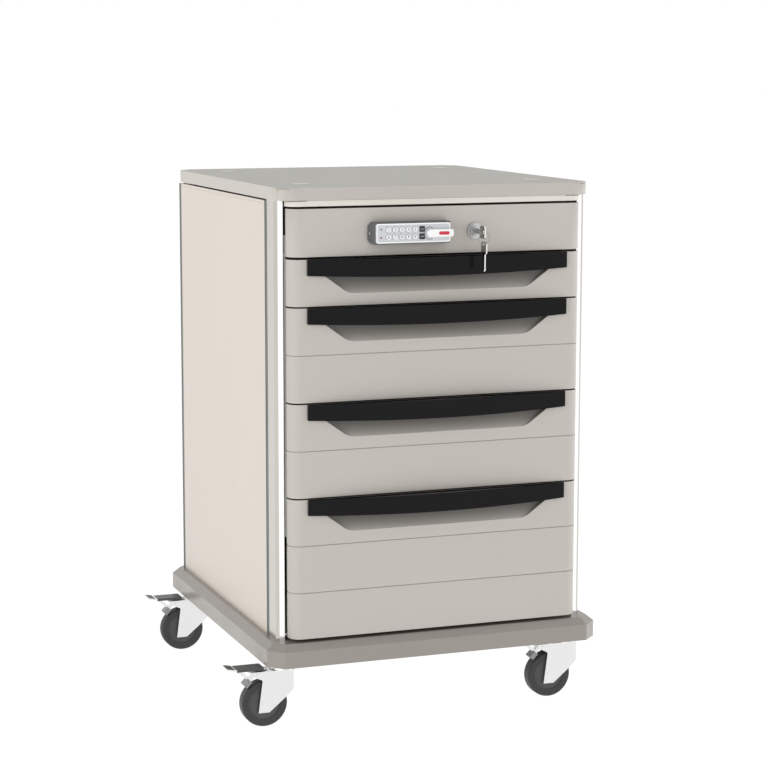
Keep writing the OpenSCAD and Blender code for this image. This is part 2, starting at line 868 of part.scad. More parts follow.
module caster_fork(i) {
    nose = 26.6;
    outer = fork_inner + fork_t;
    crown_z = fork_top - 3;
    color(zinc) at_caster(i) difference() {
        union() {
            intersection() {
                front_extrude(-outer, outer) polygon([
                    [-44.2, 24.5], [-26, 24.5], [1.8, 47.5], [17, 62], [24, 71], [nose, 79],
                    [nose + 1, fork_top], [-56, fork_top], [-56, 88.5], [-50, 84], [-37.2, 78]
                ]);
                linear_extrude_at(0, fork_top) difference() {
                    fork_plan(outer, nose);
                    fork_plan(fork_inner, nose - fork_t);
                }
            }
            // Crown across the cheeks
            intersection() {
                linear_extrude_at(crown_z, fork_top) fork_plan(outer, nose);
                box([-26, -outer, 0], [nose, outer, far]);
            }
            // Axle with its heads
            translate([-trail, 0, wheel_dia / 2]) {
                rod_y(axle_r, -outer, outer);
                rod_y(6.5, -outer - 0.8, -outer + eps);
                rod_y(6.5, outer - eps, outer + 0.8);
            }
        }
        translate([0, 0, crown_z - 1]) cylinder(r = kingpin_r + running, h = 5);
        translate([pivot_x, 0, pivot_z]) rod_y(pivot_r + running, -outer - 1, outer + 1);
    }
}

module caster_wheel(i) {
    r = wheel_dia / 2;
    edge = 4;
    half_w = wheel_w / 2;
    color(rubber) at_caster(i) translate([-trail, 0, r]) rotate([90, 0, 0]) rotate_extrude() difference() {
        union() {
            // Tyre with round shoulders
            translate([0, -half_w]) square([r - edge, wheel_w]);
            translate([0, -half_w + edge]) square([r, wheel_w - 2 * edge]);
            for (s = [-1, 1]) translate([r - edge, s * (half_w - edge)]) circle(r = edge);
            // Hub
            translate([0, -half_w - 1]) square([11, wheel_w + 2]);
        }
        translate([-far, -far]) square([far + axle_r + running, 2 * far]);
        // Dished faces
        for (s = [-1, 1]) translate([11.5, s * half_w - 2]) square([15, 4]);
    }
}

module brake_pedal(i) {
    arm_w = 10;
    shoe_w = 18;
    pad = 14;
    pad_z = 96;
    pad_t = 2.4;
    color(zinc) at_caster(i) {
        // Lever on the pivot, and the arm that slants down from under the pad
        front_extrude(-arm_w / 2, arm_w / 2) {
            polygon([
                [-36, pad_z + 1], [-36, 86], [-47, 84.5], [-52.5, 75.5], [-57, 76.5], [-52, 88], [-60, pad_z + 1]
            ]);
            polygon([[-76.6, 92.1], [-73.4, pad_z], [-52.4, 78.9], [-55.6, 75.1]]);
            polygon([[-78, pad_z + 0.5], [-77.6, 91.5], [-72, 91.5], [-66, pad_z + 0.5]]);
        }
        // Shoe above the tread
        front_extrude(-shoe_w / 2, shoe_w / 2)
            polygon([[-66.6, 71.1], [-61.6, 65.9], [-53.2, 74.4], [-58.2, 79.6]]);
        // Long pad and the raised tip
        box([-79, -pad, pad_z], [-33, pad, pad_z + pad_t]);
        front_extrude(-pad, pad)
            polygon([
                [-pedal_tip, 99.2], [-83, 96.8], [-78.5, pad_z], [-78.5, pad_z + pad_t],
                [-83, pad_z + 3.4], [-pedal_tip, 101.6]
            ]);
        translate([pivot_x, 0, pivot_z])
            rod_y(pivot_r, -fork_inner - fork_t - 0.8, fork_inner + fork_t + 0.8);
    }
}

// ---------- nodes ----------

placed() {
    base_bumper();
    inner_frame();
    corner_posts();
    side_panel_left();
    side_panel_right();
    back_panel();
    panel_seals();
    worktop();
    header_rail();
    lock_fascia();
    slide_rails();
    caster_plates();
    keypad_housing();
    keypad_faceplate();
    lock_lever();
    lock_barrel();
    key_plug();
    key();
    spare_key();
    lock_bar();
    enter_button();
    clear_button();
    for (i = digits)
        digit_button(i);
    for (k = drawer_ids) {
        drawer_front(k);
        drawer_handle(k);
        drawer_tub(k);
        middle_slides(k);
    }
    for (i = [0 : 3]) {
        caster_fork(i);
        caster_wheel(i);
        brake_pedal(i);
    }
}
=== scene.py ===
import json
import math

import bmesh
import bpy
from mathutils import Matrix, Vector


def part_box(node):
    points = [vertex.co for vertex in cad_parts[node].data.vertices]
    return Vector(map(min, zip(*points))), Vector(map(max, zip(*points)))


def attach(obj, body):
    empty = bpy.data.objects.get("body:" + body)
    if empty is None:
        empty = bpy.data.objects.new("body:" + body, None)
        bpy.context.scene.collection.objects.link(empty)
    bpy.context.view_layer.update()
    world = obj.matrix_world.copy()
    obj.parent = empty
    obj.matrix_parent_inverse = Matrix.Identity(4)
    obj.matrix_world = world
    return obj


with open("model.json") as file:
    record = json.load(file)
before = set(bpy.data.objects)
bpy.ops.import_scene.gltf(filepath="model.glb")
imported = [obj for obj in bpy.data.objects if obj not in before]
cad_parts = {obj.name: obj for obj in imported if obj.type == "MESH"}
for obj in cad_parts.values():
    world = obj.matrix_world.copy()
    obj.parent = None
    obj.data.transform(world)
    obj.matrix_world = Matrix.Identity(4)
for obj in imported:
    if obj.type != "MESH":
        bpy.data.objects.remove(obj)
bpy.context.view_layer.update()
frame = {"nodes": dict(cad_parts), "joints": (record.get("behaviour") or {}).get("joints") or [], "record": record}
nodes = frame["nodes"]
joint_at = {j["name"]: Vector(j["pos_m"]) for j in frame["joints"] if "pos_m" in j}
CORNERS = ["front_left", "front_right", "rear_left", "rear_right"]
DRAWERS = [1, 2, 3, 4]
MM = 0.001
# Along X from a pedal's tip to its caster's swivel axis
PEDAL_TIP = 0.096
# Half the width of the rubber on a pedal
PAD_HALF = 14.0 * MM
# Corners of a brake block in mm, as x from the swivel axis and z from the floor
SHOE_OUTLINE = [(-66.6, 71.1), (-61.6, 65.9), (-53.2, 74.4), (-58.2, 79.6)]
EDGE_ROUNDING = {
    "worktop": 0.8 * MM, "header_rail": 0.5 * MM, "lock_fascia": 0.6 * MM, "lock_lever": 0.6 * MM,
}


# ---------- materials ----------

class Tree:
    """A node tree under construction."""

    def __init__(self, name):
        self.material = bpy.data.materials.new(name)
        self.material.use_nodes = True
        self.nodes = self.material.node_tree.nodes
        self.links = self.material.node_tree.links
        self.shader = self.nodes["Principled BSDF"]
        coords = self.nodes.new("ShaderNodeTexCoord")
        self.place = coords.outputs["Object"]

    def add(self, kind, **values):
        node = self.nodes.new(kind)
        for key, value in values.items():
            setattr(node, key, value)
        return node

    def link(self, source, target):
        self.links.new(source, target)

    def stretched(self, scale):
        mapping = self.add("ShaderNodeMapping")
        mapping.inputs["Scale"].default_value = scale
        self.link(self.place, mapping.inputs["Vector"])
        return mapping.outputs["Vector"]

    def noise(self, scale, detail=3.0, roughness=0.5, stretch=None):
        node = self.add("ShaderNodeTexNoise")
        node.inputs["Scale"].default_value = scale
        node.inputs["Detail"].default_value = detail
        node.inputs["Roughness"].default_value = roughness
        self.link(self.stretched(stretch) if stretch else self.place, node.inputs["Vector"])
        return node.outputs["Fac"]

    def ramp(self, source, low, high, at=(0.3, 0.7)):
        node = self.add("ShaderNodeMapRange")
        node.clamp = True
        node.inputs["From Min"].default_value = at[0]
        node.inputs["From Max"].default_value = at[1]
        node.inputs["To Min"].default_value = low
        node.inputs["To Max"].default_value = high
        self.link(source, node.inputs["Value"])
        return node.outputs["Result"]

    def math(self, kind, a, b=None):
        node = self.add("ShaderNodeMath", operation=kind)
        for socket, value in zip(node.inputs, (a, b)):
            if value is None:
                continue
            if isinstance(value, (int, float)):
                socket.default_value = value
            else:
                self.link(value, socket)
        return node.outputs["Value"]

    def mix(self, fac, a, b, blend="MIX"):
        node = self.add("ShaderNodeMix", data_type="RGBA", blend_type=blend)
        for key, value in (("Factor", fac), ("A", a), ("B", b)):
            socket = [s for s in node.inputs if s.name == key and s.enabled][0]
            if isinstance(value, (int, float)):
                socket.default_value = value
            elif isinstance(value, tuple):
                socket.default_value = (*value, 1.0)
            else:
                self.link(value, socket)
        return [s for s in node.outputs if s.enabled][0]

    def bump(self, heights):
        """Chains bumps given as (height output, distance in metres, strength)."""
        normal = None
        for height, distance, strength in heights:
            node = self.add("ShaderNodeBump")
            node.inputs["Strength"].default_value = strength
            node.inputs["Distance"].default_value = distance
            self.link(height, node.inputs["Height"])
            if normal is not None:
                self.link(normal, node.inputs["Normal"])
            normal = node.outputs["Normal"]
        self.link(normal, self.shader.inputs["Normal"])

    def axis(self, name, source=None):
        """One coordinate of the place, or of another vector."""
        node = self.add("ShaderNodeSeparateXYZ")
        self.link(self.place if source is None else source, node.inputs["Vector"])
        return node.outputs[name]

    def occlusion(self, distance, samples):
        node = self.add("ShaderNodeAmbientOcclusion", samples=samples)
        node.inputs["Distance"].default_value = distance
        return node.outputs["AO"]

    def edge_mask(self, radius, gain=6.0):
        """Near 1 on convex edges and 0 on flat faces."""
        bevel = self.add("ShaderNodeBevel", samples=4)
        bevel.inputs["Radius"].default_value = radius
        geometry = self.add("ShaderNodeNewGeometry")
        dot = self.add("ShaderNodeVectorMath", operation="DOT_PRODUCT")
        self.link(bevel.outputs["Normal"], dot.inputs[0])
        self.link(geometry.outputs["Normal"], dot.inputs[1])
        away = self.math("SUBTRACT", 1.0, dot.outputs["Value"])
        return self.ramp(away, 0.0, 1.0, (0.0, 1.0 / gain))


def tint(colour, factor):
    return tuple(min(1.0, c * factor) for c in colour)


def surface(name, colour, rough, metallic=0.0, level=0.5, grain=(900.0, 0.00008, 0.25), mottle=0.05,
            speckle=0.03, coat=0.0, wear=0.0, wear_colour=None, extra=None, smudge=0.2):
    """A plastic, painted or metal finish with colour variation, grain, roughness variation and edge wear."""
    t = Tree(name)
    large = t.noise(6.0, 4.0, 0.55)
    fine = t.noise(420.0, 2.0, 0.6)
    base = t.mix(t.ramp(large, 0.0, 1.0), tint(colour, 1.0 - mottle), tint(colour, 1.0 + mottle))
    base = t.mix(t.ramp(fine, 0.0, 1.0), base, tint(colour, 1.0 + speckle))
    if wear:
        scuffs = t.ramp(t.noise(55.0, 5.0, 0.7), 0.15, 1.0, (0.35, 0.7))
        mask = t.math("MULTIPLY", t.edge_mask(0.0012), scuffs)
        base = t.mix(t.math("MULTIPLY", mask, wear), base, wear_colour or tint(colour, 1.35))
    if extra:
        base = extra(t, base)
    t.link(base, t.shader.inputs["Base Color"])
    patches = t.noise(14.0, 5.0, 0.65)
    roughness = t.ramp(patches, rough * (1.0 - smudge), min(1.0, rough * (1.0 + smudge)))
    t.link(roughness, t.shader.inputs["Roughness"])
    t.shader.inputs["Metallic"].default_value = metallic
    t.shader.inputs["Specular IOR Level"].default_value = level
    t.shader.inputs["Coat Weight"].default_value = coat
    t.shader.inputs["Coat Roughness"].default_value = 0.1
    scale, depth, strength = grain
    t.bump([(t.noise(9.0, 2.0), 0.002, 0.1 * smudge), (t.noise(scale, 3.0, 0.6), depth, strength)])
    return t.material


def brushed(name, colour, rough, along="Z", scratch=0.25):
    """Metal with fine lines along one axis."""
    t = Tree(name)
    stretch = {"X": (6.0, 900.0, 900.0), "Y": (900.0, 6.0, 900.0), "Z": (900.0, 900.0, 6.0)}[along]
    lines = t.noise(1.0, 4.0, 0.6, stretch)
    large = t.noise(7.0, 3.0)
    base = t.mix(t.ramp(lines, 0.0, 1.0), tint(colour, 0.93), tint(colour, 1.04))
    base = t.mix(t.ramp(large, 0.0, 0.35), base, tint(colour, 0.9))
    t.link(base, t.shader.inputs["Base Color"])
    t.shader.inputs["Metallic"].default_value = 1.0
    t.link(t.ramp(lines, rough * 0.8, rough * 1.3), t.shader.inputs["Roughness"])
    t.bump([(lines, 0.00003, scratch)])
    return t.material


BEIGE = (0.546, 0.514, 0.472)
CREAM = (0.705, 0.637, 0.567)
TAUPE = (0.318, 0.291, 0.260)

slot_of = {s["node"]: s["material_slot"] for s in frame["record"]["subparts"]}
worktop_low, worktop_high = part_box("worktop")
PLATE_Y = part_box("keypad_faceplate")[0].y
CENTRE_X = (worktop_low.x + worktop_high.x) / 2
FRONT_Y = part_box("drawer_front_1")[0].y
TOP_Z = worktop_high.z - 0.5 * MM


def shaded_hollows(t, base):
    """Darker the deeper a finger scoop is, and in close gaps."""
    depth = t.math("SUBTRACT", t.axis("Y"), FRONT_Y)
    across = t.math("ABSOLUTE", t.math("SUBTRACT", t.axis("X"), CENTRE_X))
    inside = t.ramp(across, 1.0, 0.0, (0.200, 0.201))
    deep = t.math("MULTIPLY", t.ramp(depth, 0.0, 1.0, (0.5 * MM, 12.0 * MM)), inside)
    base = t.mix(deep, base, tint(BEIGE, 0.24))
    return t.mix(t.ramp(t.occlusion(0.03, 8), 0.0, 1.0, (0.10, 0.70)), tint(BEIGE, 0.40), base)


def beige_with_plugs(t, base):
    """The worktop's cover plugs are paler. Painted shade darkens the top faces and the crevice round each plug,
    and painted light brightens the faces that look along X.
    """
    raised = t.math("GREATER_THAN", t.axis("Z"), TOP_Z + 0.1 * MM)
    # Painted shade: the top faces darker
    base = t.mix(facing(t, "Z"), base, (0.358, 0.346, 0.296))
    # Painted light: the faces that look along X lighter
    base = t.mix(facing(t, "X"), base, (0.572, 0.540, 0.490))
    base = t.mix(raised, base, (0.78, 0.77, 0.73))
    # Painted shade from ambient occlusion in the crevice round each plug
    return t.mix(t.ramp(t.occlusion(0.8 * MM, 6), 0.0, 1.0, (0.3, 0.9)), tint(BEIGE, 0.6), base)


def facing(t, axis, at=(0.55, 0.8)):
    """Near 1 where a face of the part looks along that axis of the part."""
    normal = t.add("ShaderNodeTexCoord").outputs["Normal"]
    return t.ramp(t.math("ABSOLUTE", t.axis(axis, normal)), 0.0, 1.0, at)


def two_sided(axis, colour, at=(0.55, 0.8)):
    """Painted shade: a darker colour on the faces that look along an axis."""
    def extra(t, base):
        return t.mix(facing(t, axis, at), base, colour)
    return extra


def fork_tones(t, base):
    """Painted highlight on the bend, and painted shade making the flat cheeks a little darker."""
    base = t.mix(facing(t, "Y", (0.55, 0.75)), base, (1.0, 1.0, 1.0))
    return t.mix(facing(t, "Y", (0.93, 0.99)), base, (0.77, 0.77, 0.77))


def plate_border(t, base):
    """White raised border and silver sunk panel."""
    raised = t.math("LESS_THAN", t.axis("Y"), PLATE_Y + 0.3 * MM)
    return t.mix(raised, base, (0.97, 0.97, 0.97))


def ring_and_bow(t, base):
    """Dull wire above the bow, and painted shade darkening the bow's flat sides."""
    # Painted shade on the bow's flat sides
    base = t.mix(facing(t, "X"), base, (0.30, 0.29, 0.28))
    wire = t.math("GREATER_THAN", t.axis("Z"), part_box("spare_key")[0].z + 17.0 * MM)
    return t.mix(wire, base, (0.36, 0.345, 0.32))


def wheel_distance(t, corner):
    """Distance from a wheel's axle, or far more where another wheel is nearer."""
    low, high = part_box("caster_wheel_" + corner)
    centre = (low + high) / 2
    flat = t.add("ShaderNodeVectorMath", operation="MULTIPLY")
    t.link(t.place, flat.inputs[0])
    flat.inputs[1].default_value = (1.0, 0.0, 1.0)
    away = t.math("GREATER_THAN", t.math("ABSOLUTE", t.math("SUBTRACT", t.axis("Y"), centre.y)), 0.06)
    node = t.add("ShaderNodeVectorMath", operation="DISTANCE")
    t.link(flat.outputs["Vector"], node.inputs[0])
    node.inputs[1].default_value = (centre.x, 0.0, centre.z)
    return t.math("ADD", node.outputs["Value"], away)


def hub_and_tyre(t, base):
    """A slightly paler hub inside the tread."""
    near = [wheel_distance(t, corner) for corner in CORNERS]
    closest = t.math("MINIMUM", t.math("MINIMUM", near[0], near[1]), t.math("MINIMUM", near[2], near[3]))
    return t.mix(t.ramp(closest, 1.0, 0.0, (0.0265, 0.0275)), base, (0.075, 0.075, 0.078))


MATERIALS = {
    "beige_plastic": surface(
        "beige_plastic", BEIGE, 0.38, grain=(620.0, 0.0001, 0.10), level=0.4, mottle=0.015, speckle=0.01,
        extra=shaded_hollows),
    "cream_panel": surface(
        "cream_panel", CREAM, 0.36, grain=(520.0, 0.0001, 0.10), level=0.4, mottle=0.012, speckle=0.01,
        smudge=0.08),
    "taupe_plastic": surface(
        "taupe_plastic", TAUPE, 0.24, grain=(480.0, 0.00008, 0.08), mottle=0.02, speckle=0.01),
    "black_plastic": surface(
        "black_plastic", (0.0055, 0.0055, 0.006), 0.12, grain=(700.0, 0.00005, 0.06), level=0.13,
        mottle=0.2, speckle=0.2),
    # The posts' side faces carry painted shade, darker than the bright front faces
    "post_aluminium": surface(
        "post_aluminium", (1.0, 1.0, 1.0), 0.16, metallic=1.0, grain=(500.0, 0.00005, 0.1), mottle=0.015,
        speckle=0.0, extra=two_sided("X", (0.565, 0.540, 0.495), (0.10, 0.30))),
    # Painted highlight and painted shade on the forks' bends and cheeks
    "zinc_steel": surface(
        "zinc_steel", (0.87, 0.87, 0.875), 0.20, metallic=1.0, grain=(300.0, 0.00006, 0.05), mottle=0.02,
        speckle=0.01, extra=fork_tones),
    "inner_steel": surface(
        "inner_steel", (0.45, 0.45, 0.45), 0.40, grain=(600.0, 0.0001, 0.2)),
    "seal_rubber": surface(
        "seal_rubber", (0.19, 0.205, 0.195), 0.60, grain=(1800.0, 0.0001, 0.4), level=0.3),
    "housing_plastic": surface(
        "housing_plastic", (0.10, 0.105, 0.11), 0.42, grain=(2200.0, 0.0001, 0.35), wear=0.4,
        wear_colour=(0.3, 0.31, 0.32)),
    "button_plastic": surface(
        "button_plastic", (0.86, 0.86, 0.86), 0.30, grain=(2500.0, 0.00004, 0.2), wear=0.5),
    "dark_button": surface(
        "dark_button", (0.022, 0.023, 0.025), 0.38, grain=(2500.0, 0.00004, 0.2), wear=0.4,
        wear_colour=(0.2, 0.2, 0.21)),
    # Painted shade darkens the faces that look along X, such as a key bow's flat sides
    "lock_metal": surface(
        "lock_metal", (0.88, 0.88, 0.88), 0.16, metallic=1.0, grain=(600.0, 0.00006, 0.25), mottle=0.08,
        speckle=0.05, extra=two_sided("X", (0.30, 0.30, 0.29))),
    "lever_plastic": surface(
        "lever_plastic", (0.95, 0.95, 0.95), 0.20, grain=(1500.0, 0.00004, 0.1), coat=0.4),
    "wheel_rubber": surface(
        "wheel_rubber", (0.035, 0.035, 0.037), 0.50, grain=(1500.0, 0.00012, 0.4), level=0.4, mottle=0.12,
        speckle=0.15, extra=hub_and_tyre),
}
# The worktop carries painted shade on its top and crevices and painted light on its sides
WORKTOP = surface("worktop_plastic", (0.526, 0.492, 0.451), 0.36, grain=(620.0, 0.0001, 0.10), level=0.4,
                  mottle=0.012, speckle=0.01, extra=beige_with_plugs, smudge=0.05)
RAIL = surface("rail_plastic", (0.745, 0.708, 0.645), 0.34, grain=(600.0, 0.00008, 0.08), mottle=0.02)
FACEPLATE = surface("faceplate_plastic", (0.62, 0.635, 0.66), 0.30, grain=(2400.0, 0.00003, 0.2), mottle=0.02,
                    extra=plate_border)
BARREL = brushed("barrel_metal", (0.56, 0.56, 0.56), 0.22, "X", 0.5)
KEY_RING = surface("key_ring", (0.80, 0.80, 0.80), 0.2, metallic=1.0, grain=(600.0, 0.00006, 0.2),
                   extra=ring_and_bow)
PAD = surface("pad_rubber", (0.050, 0.050, 0.050), 0.30, grain=(900.0, 0.00008, 0.3), level=0.6, speckle=0.2)
SHOE = surface("shoe_metal", (0.26, 0.27, 0.27), 0.34, metallic=1.0, grain=(700.0, 0.0001, 0.3), mottle=0.1)
TUB = surface("tub_steel", (0.62, 0.63, 0.64), 0.38, metallic=1.0, grain=(260.0, 0.00008, 0.12), mottle=0.05)
PALE = surface("pale_ink", (0.42, 0.42, 0.43), 0.45, mottle=0.05)
INK = surface("ink", (0.09, 0.09, 0.10), 0.45, mottle=0.05)
RED = surface("red_mark", (0.62, 0.015, 0.045), 0.28, grain=(900.0, 0.00003, 0.1), mottle=0.04, coat=0.3)
GREEN_LENS = surface("green_lens", (0.03, 0.33, 0.07), 0.15, mottle=0.1, coat=0.5)
RED_LENS = surface("red_lens", (0.52, 0.02, 0.02), 0.15, mottle=0.1, coat=0.5)
SCREW = surface("screw_steel", (0.75, 0.75, 0.76), 0.28, metallic=1.0, grain=(900.0, 0.00005, 0.3),
                mottle=0.05)


def paint(obj, material):
    obj.data.materials.clear()
    obj.data.materials.append(material)


for name, obj in nodes.items():
    paint(obj, MATERIALS[slot_of[name]])
paint(nodes["worktop"], WORKTOP)
paint(nodes["header_rail"], RAIL)
paint(nodes["keypad_faceplate"], FACEPLATE)
paint(nodes["lock_barrel"], BARREL)
paint(nodes["key_plug"], BARREL)
paint(nodes["spare_key"], KEY_RING)
paint(nodes["slide_rails"], TUB)
for k in DRAWERS:
    paint(nodes[f"drawer_tub_{k}"], TUB)
    paint(nodes[f"middle_slides_{k}"], TUB)


# ---------- rounded edges on the moulded nodes ----------

def soften(name, width):
    """Welds a node's mesh and rounds its sharp edges, by modifiers."""
    obj = nodes[name]
    weld = obj.modifiers.new("weld", "WELD")
    weld.merge_threshold = 0.00002
    bevel = obj.modifiers.new("bevel", "BEVEL")
    bevel.width = width
    bevel.segments = 2
    bevel.limit_method = "ANGLE"
    bevel.angle_limit = math.radians(34.0)
    bevel.harden_normals = True


for name, width in EDGE_ROUNDING.items():
    soften(name, width)


# ---------- pieces ----------

def piece(name, bm, material, body):
    bmesh.ops.recalc_face_normals(bm, faces=bm.faces)
    mesh = bpy.data.meshes.new(name)
    bm.to_mesh(mesh)
    bm.free()
    obj = bpy.data.objects.new(name, mesh)
    bpy.context.scene.collection.objects.link(obj)
    paint(obj, material)
    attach(obj, body)
    return obj


def middle(name):
    low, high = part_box(name)
    return (low + high) / 2


def point_along_x(a, x, b):
    return (x, a, b)


def point_along_y(a, y, b):
    return (a, y, b)


def add_prism(bm, outline, start, end, point=point_along_y):
    """A closed outline of (x, z) points made solid from start to end along Y, or of (y, z) points along X."""
    near = [bm.verts.new(point(a, start, b)) for a, b in outline]
    far = [bm.verts.new(point(a, end, b)) for a, b in outline]
    bm.faces.new(near)
    bm.faces.new(far[::-1])
    for i in range(len(outline)):
        j = (i + 1) % len(outline)
        bm.faces.new((near[i], far[i], far[j], near[j]))


def round_edges(bm, width):
    edges = [e for e in bm.edges if len(e.link_faces) == 2 and e.calc_face_angle(0.0) > 0.6]
    bmesh.ops.bevel(bm, geom=edges, offset=width, segments=2, affect="EDGES", profile=0.6)


def arc_outline(cx, cz, radius, start, end, steps):
    """Points of an arc in the XZ plane."""
    return [(cx + radius * math.cos(start + (end - start) * i / steps),
             cz + radius * math.sin(start + (end - start) * i / steps)) for i in range(steps)]


def add_dome(bm, centre, radius, height, axis):
    """A shallow dome whose axis is the given unit vector."""
    rings, around = 5, 20
    turn = Vector((0, 0, 1)).rotation_difference(Vector(axis)).to_matrix()
    loops = []
    for i in range(rings):
        angle = 0.5 * math.pi * i / rings
        loops.append([bm.verts.new(Vector(centre) + turn @ Vector((
            radius * math.cos(angle) * math.cos(2 * math.pi * j / around),
            radius * math.cos(angle) * math.sin(2 * math.pi * j / around),
            height * math.sin(angle)))) for j in range(around)])
    tip = bm.verts.new(Vector(centre) + turn @ Vector((0, 0, height)))
    bm.faces.new(loops[0][::-1])
    for low, high in zip(loops, loops[1:]):
        for j in range(around):
            k = (j + 1) % around
            bm.faces.new((low[j], low[k], high[k], high[j]))
    for j in range(around):
        bm.faces.new((loops[-1][j], loops[-1][(j + 1) % around], tip))


def pedal_pad(tip_x, mid_y, top):
    """Cross ribs on the flat part of a pedal."""
    bm = bmesh.new()
    pitch, rib, count = 3.0 * MM, 0.7 * MM, 15
    start = tip_x + 16.8 * MM
    outline = []
    for i in range(count):
        x = start + i * pitch
        outline += [(x, top + rib), (x + pitch * 0.6, top + rib),
                    (x + pitch * 0.6, top + 0.2 * MM), (x + pitch, top + 0.2 * MM)]
    end = start + count * pitch
    outline += [(end, top - 3.6 * MM), (start, top - 3.6 * MM)]
    add_prism(bm, outline, mid_y - PAD_HALF - 0.5 * MM, mid_y + PAD_HALF + 0.5 * MM)
    return bm


def pedal_tip(tip_x, mid_y, top, highest):
    """Cross ribs on a pedal's turned-up tip."""
    bm = bmesh.new()
    ribs = 5
    first = Vector((tip_x + 0.4 * MM, top + 3.25 * MM))
    last = Vector((tip_x + 13.0 * MM, top + 1.05 * MM))
    along = (last - first) / ribs
    outline = []
    for i in range(ribs):
        a = first + along * i
        outline += [(a.x, a.y + 0.6 * MM), (a.x + along.x * 0.6, a.y + along.y * 0.6 + 0.6 * MM),
                    (a.x + along.x * 0.6, a.y + along.y * 0.6), (a.x + along.x, a.y + along.y)]
    outline += [(last.x, last.y - 0.5 * MM), (first.x, first.y - 0.5 * MM)]
    outline = [(x, min(z, highest - 0.01 * MM)) for x, z in outline]
    add_prism(bm, outline, mid_y - PAD_HALF + 0.4 * MM, mid_y + PAD_HALF - 0.4 * MM)
    return bm


def brake_shoe(swivel_x, mid_y):
    """Metal sleeve round the pedal's brake block."""
    bm = bmesh.new()
    corners = [Vector((swivel_x + x * MM, z * MM)) for x, z in SHOE_OUTLINE]
    centre = sum(corners, Vector((0.0, 0.0))) / len(corners)
    grown = [centre + (c - centre) * 1.06 for c in corners]
    add_prism(bm, [(c.x, c.y) for c in grown], mid_y - 9.5 * MM, mid_y + 9.5 * MM)
    round_edges(bm, 0.8 * MM)
    return bm


def brake_covers():
    """Ribbed rubber on each pedal and a metal sleeve round its block."""
    for corner in CORNERS:
        body = "brake_" + corner
        low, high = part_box("brake_pedal_" + corner)
        mid_y = (low.y + high.y) / 2
        # The pad's top is this far below the top of the tip, which is the pedal's highest point
        top = high.z - 3.2 * MM
        piece(f"pedal_pad_{corner}", pedal_pad(low.x, mid_y, top), PAD, body)
        piece(f"pedal_tip_{corner}", pedal_tip(low.x, mid_y, top, high.z), PAD, body)
        piece(f"brake_shoe_{corner}", brake_shoe(low.x + PEDAL_TIP, mid_y), SHOE, body)


def button_marks():
    """A digit on each round button and a ring round it."""
    for digit in range(10):
        low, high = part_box(f"digit_button_{digit}")
        centre = (low + high) / 2
        face = low.y - 0.03 * MM
        curve = bpy.data.curves.new(f"digit_{digit}", "FONT")
        curve.body = str(digit)
        curve.size = 6.6 * MM
        curve.align_x = "CENTER"
        curve.align_y = "CENTER"
        curve.extrude = 0.02 * MM
        maker = bpy.data.objects.new("maker", curve)
        bpy.context.scene.collection.objects.link(maker)
        bpy.context.view_layer.update()
        mesh = bpy.data.meshes.new_from_object(maker)
        bpy.data.objects.remove(maker)
        turn = Matrix.Rotation(math.pi / 2, 4, "X")
        bm = bmesh.new()
        bm.from_mesh(mesh)
        bpy.data.meshes.remove(mesh)
        bmesh.ops.transform(bm, matrix=Matrix.Translation((centre.x, face, centre.z)) @ turn, verts=bm.verts)
        piece(f"digit_mark_{digit}", bm, INK, f"digit_button_{digit}")

        bm = bmesh.new()
        add_ring(bm, (centre.x, centre.z), 3.75 * MM, 4.55 * MM, PLATE_Y + 0.5 * MM, PLATE_Y + 0.62 * MM)
        piece(f"button_ring_{digit}", bm, INK, "cabinet")


def add_ring(bm, centre, inner, outer, y0, y1, start=0.0, end=2 * math.pi, steps=48):
    """A flat ring, or part of one, that faces along Y."""
    closed = end - start > 6.28
    loops = []
    for i in range(steps if closed else steps + 1):
        angle = start + (end - start) * i / steps
        c, s = math.cos(angle), math.sin(angle)
        loops.append([bm.verts.new((centre[0] + r * c, y, centre[1] + r * s))
                      for r, y in ((inner, y0), (outer, y0), (outer, y1), (inner, y1))])
    for i in range(len(loops) if closed else len(loops) - 1):
        a, b = loops[i], loops[(i + 1) % len(loops)]
        for j in range(4):
            k = (j + 1) % 4
            bm.faces.new((a[j], b[j], b[k], a[k]))
    if not closed:
        bm.faces.new(loops[0])
        bm.faces.new(loops[-1][::-1])


